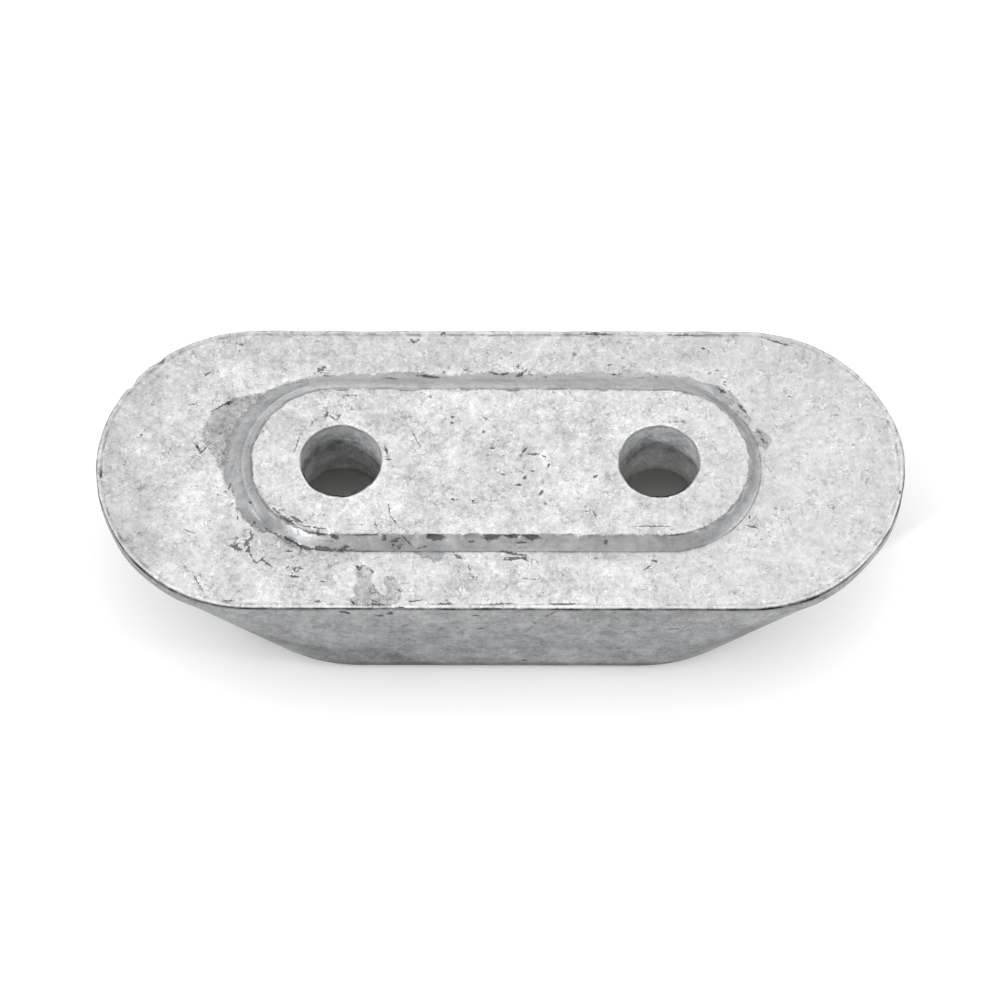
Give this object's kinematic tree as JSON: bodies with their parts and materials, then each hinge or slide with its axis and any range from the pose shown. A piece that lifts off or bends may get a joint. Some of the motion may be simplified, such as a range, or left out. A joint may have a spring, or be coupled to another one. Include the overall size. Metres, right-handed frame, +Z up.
{
  "type": "sacrificial anode",
  "caption": "Slot-shaped cast bolt-on anode block with sloping ends, a raised mounting pad and bolt holes through it.",
  "frame": {"origin": "centre of the foot (the wetted face that it lies on), midway between the two bolt holes", "axes": "+X along the length, +Y across the width, +Z up out of the mounting pad, along the bolt holes"},
  "size_m": [0.1018, 0.04, 0.0198],
  "materials": {
    "cast_zinc": "as-cast zinc alloy, matt and mottled light grey, smoother on the drafted walls"
  },
  "bodies": {
    "root": {"anode_casting": "cast_zinc"}
  },
  "joints": []
}
